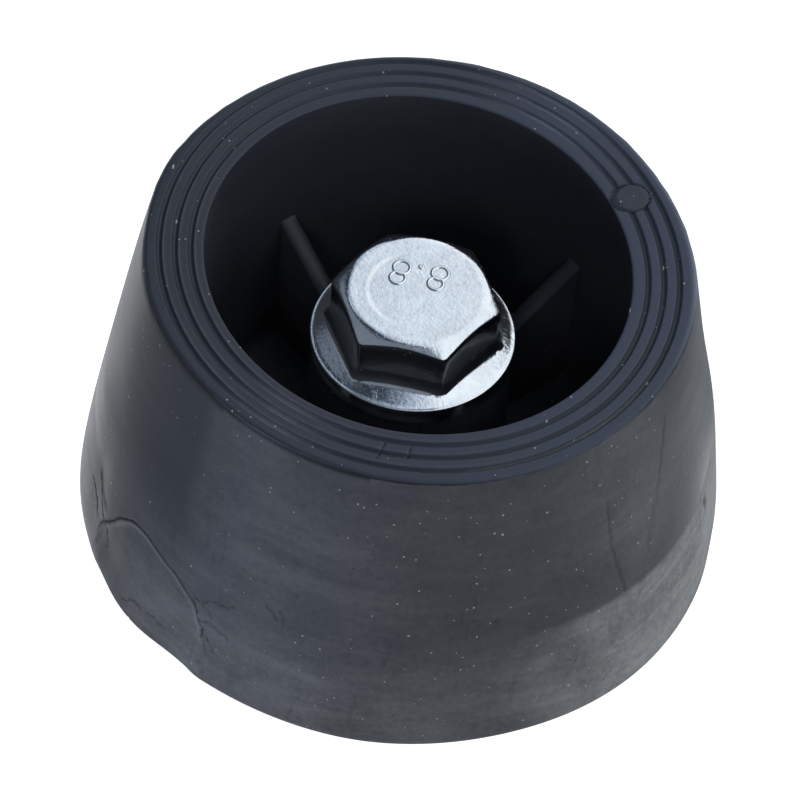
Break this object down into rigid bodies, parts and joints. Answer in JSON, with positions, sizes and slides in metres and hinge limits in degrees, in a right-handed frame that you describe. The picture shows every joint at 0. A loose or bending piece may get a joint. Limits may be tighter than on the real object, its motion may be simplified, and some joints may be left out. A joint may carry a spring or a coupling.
{
  "type": "furniture leveling foot",
  "caption": "Hollow moulded rubber furniture foot that swivels on a flanged hex bolt, with a retaining nut and a lock nut on the threaded stud.",
  "frame": {"origin": "on the bolt's axis, where the furniture's underside rests on the outer face of the furniture washer at rest", "axes": "+Z along the bolt axis, from the furniture towards the floor end of the foot (the floor ring faces up, so +Z is down in use); -Z along the free thread"},
  "size_m": [0.0572, 0.0572, 0.0613],
  "materials": {
    "black_rubber": "satin black moulded rubber with faint scuffs",
    "zinc_plated_steel": "bright zinc plate over a cold-forged surface",
    "insert_steel": "plain turned steel, slightly dull",
    "white_nylon": "milky white nylon"
  },
  "bodies": {
    "stud": {"flange_bolt": "zinc_plated_steel", "retaining_nut": "zinc_plated_steel", "nylon_insert": "white_nylon", "bearing_washer": "zinc_plated_steel"},
    "foot": {"rubber_foot": "black_rubber", "seat_washer": "insert_steel", "spacer_sleeve": "insert_steel", "base_washer": "insert_steel"},
    "sliding_washer": {"furniture_washer": "zinc_plated_steel"},
    "height_lock": {"lock_nut": "zinc_plated_steel"}
  },
  "joints": [
    {"name": "foot_swivel", "type": "hinge", "parent": "stud", "child": "foot", "pos_m": [0, 0, 0.03515], "axis": [0, 0, 1], "continuous": true},
    {"name": "lock_nut_travel", "type": "slide", "parent": "stud", "child": "sliding_washer", "axis": [0, 0, -1], "range_m": [0, 0.01]},
    {"name": "lock_nut_turn", "type": "hinge", "parent": "sliding_washer", "child": "height_lock", "pos_m": [0, 0, 0.0036], "axis": [0, 0, -1], "range_deg": [0, 2880]}
  ],
  "couplings": [
    {"joint": "lock_nut_travel", "follows": "lock_nut_turn", "m_per_rad": 0.00019894}
  ]
}
